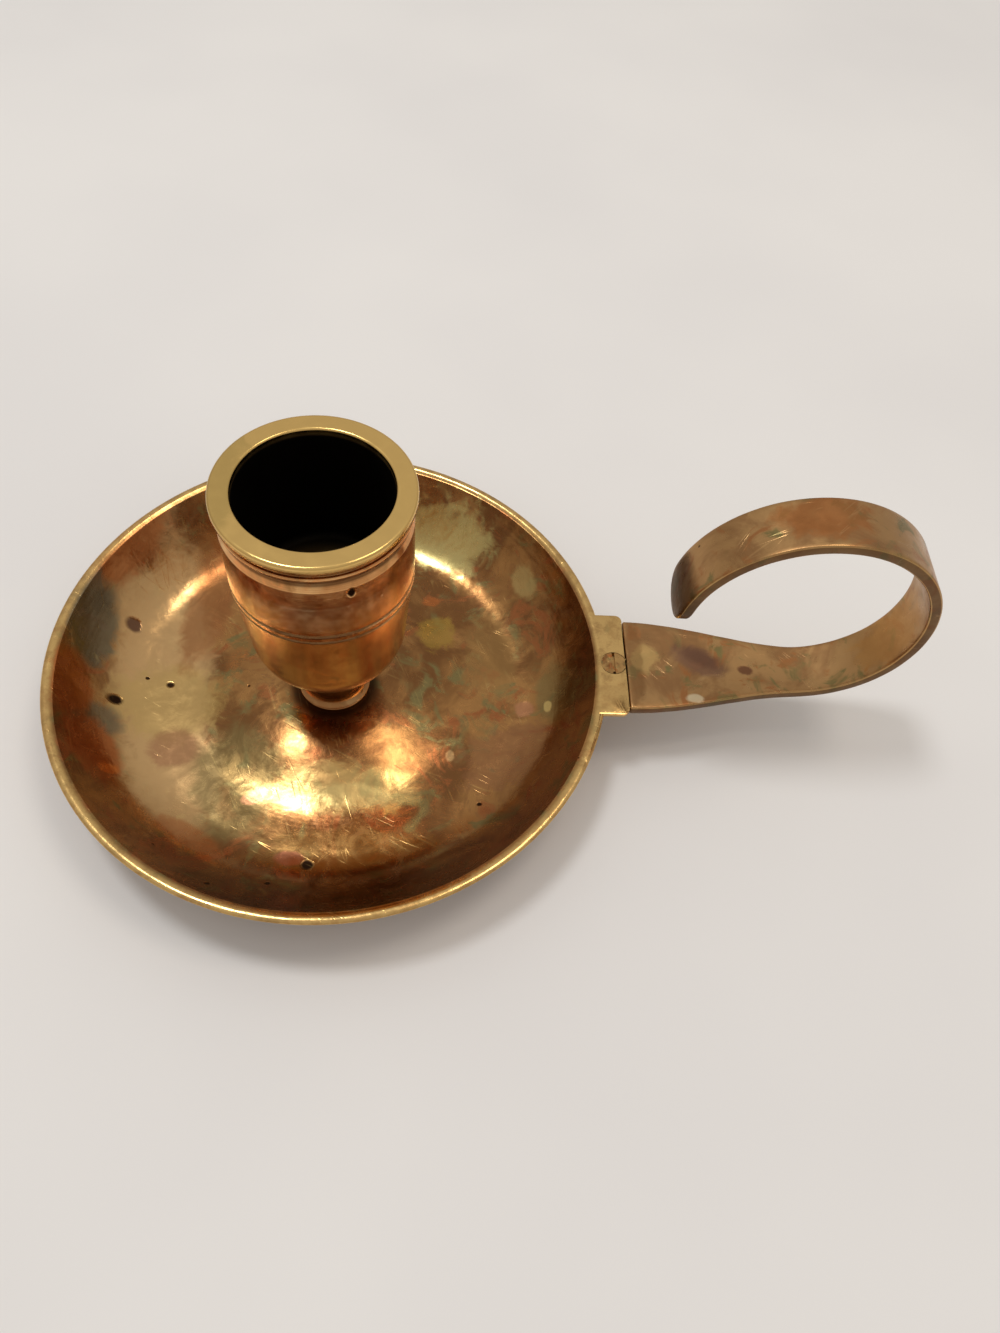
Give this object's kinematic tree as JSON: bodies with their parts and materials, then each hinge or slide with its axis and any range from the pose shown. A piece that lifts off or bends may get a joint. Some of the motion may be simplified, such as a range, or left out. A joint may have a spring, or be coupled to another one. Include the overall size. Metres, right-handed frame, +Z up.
{
  "type": "chamber candlestick",
  "caption": "Low brass candlestick: a saucer drip pan with a turned candle socket on a short stem and a flat strip handle bent round into an open finger loop.",
  "frame": {"origin": "on the surface that the pan stands on, under the middle of the whole candlestick between the pan's rim and the loop's far side", "axes": "+Z up along the candle, +X from the pan towards the handle, +Y to the left of the handle seen from the candle"},
  "size_m": [0.1394, 0.0914, 0.0528],
  "materials": {
    "pan_brass": "worn and tarnished, polished in places",
    "socket_brass": "turned and polished",
    "handle_brass": "dull brown tarnish, rubbed bright on the edges",
    "fixing_brass": "dull, filed flush"
  },
  "bodies": {
    "root": {"drip_pan": "pan_brass", "candle_socket": "socket_brass", "socket_washer": "fixing_brass", "socket_screw": "fixing_brass", "finger_loop_handle": "handle_brass", "handle_screw": "fixing_brass"}
  },
  "joints": []
}
